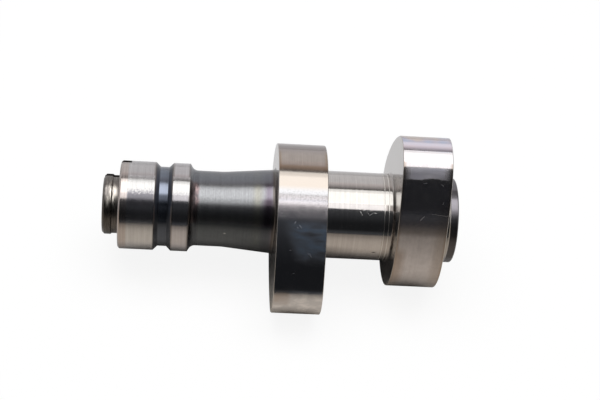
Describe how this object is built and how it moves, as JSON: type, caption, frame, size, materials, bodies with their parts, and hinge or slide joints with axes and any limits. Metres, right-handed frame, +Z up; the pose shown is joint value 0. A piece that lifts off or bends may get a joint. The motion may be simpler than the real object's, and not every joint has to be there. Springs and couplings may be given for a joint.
{
  "type": "camshaft",
  "caption": "Short one-piece steel camshaft: drive journal with pilot and timing slot, retainer groove, tapered waist and ground cam lobes either side of a centre journal.",
  "frame": {"origin": "centre of the drive journal, on the shaft's axis, midway between the shoulder and the groove", "axes": "+X along the shaft from the drive end to the free end, +Z up as it lies on its lobes, the second lobe's nose up"},
  "size_m": [0.0798, 0.0389, 0.0398],
  "materials": {
    "ground_steel": "fine ground on journals and lobes, dark as turned on the waist, groove and ends"
  },
  "bodies": {
    "root": {"camshaft": "ground_steel"}
  },
  "joints": []
}
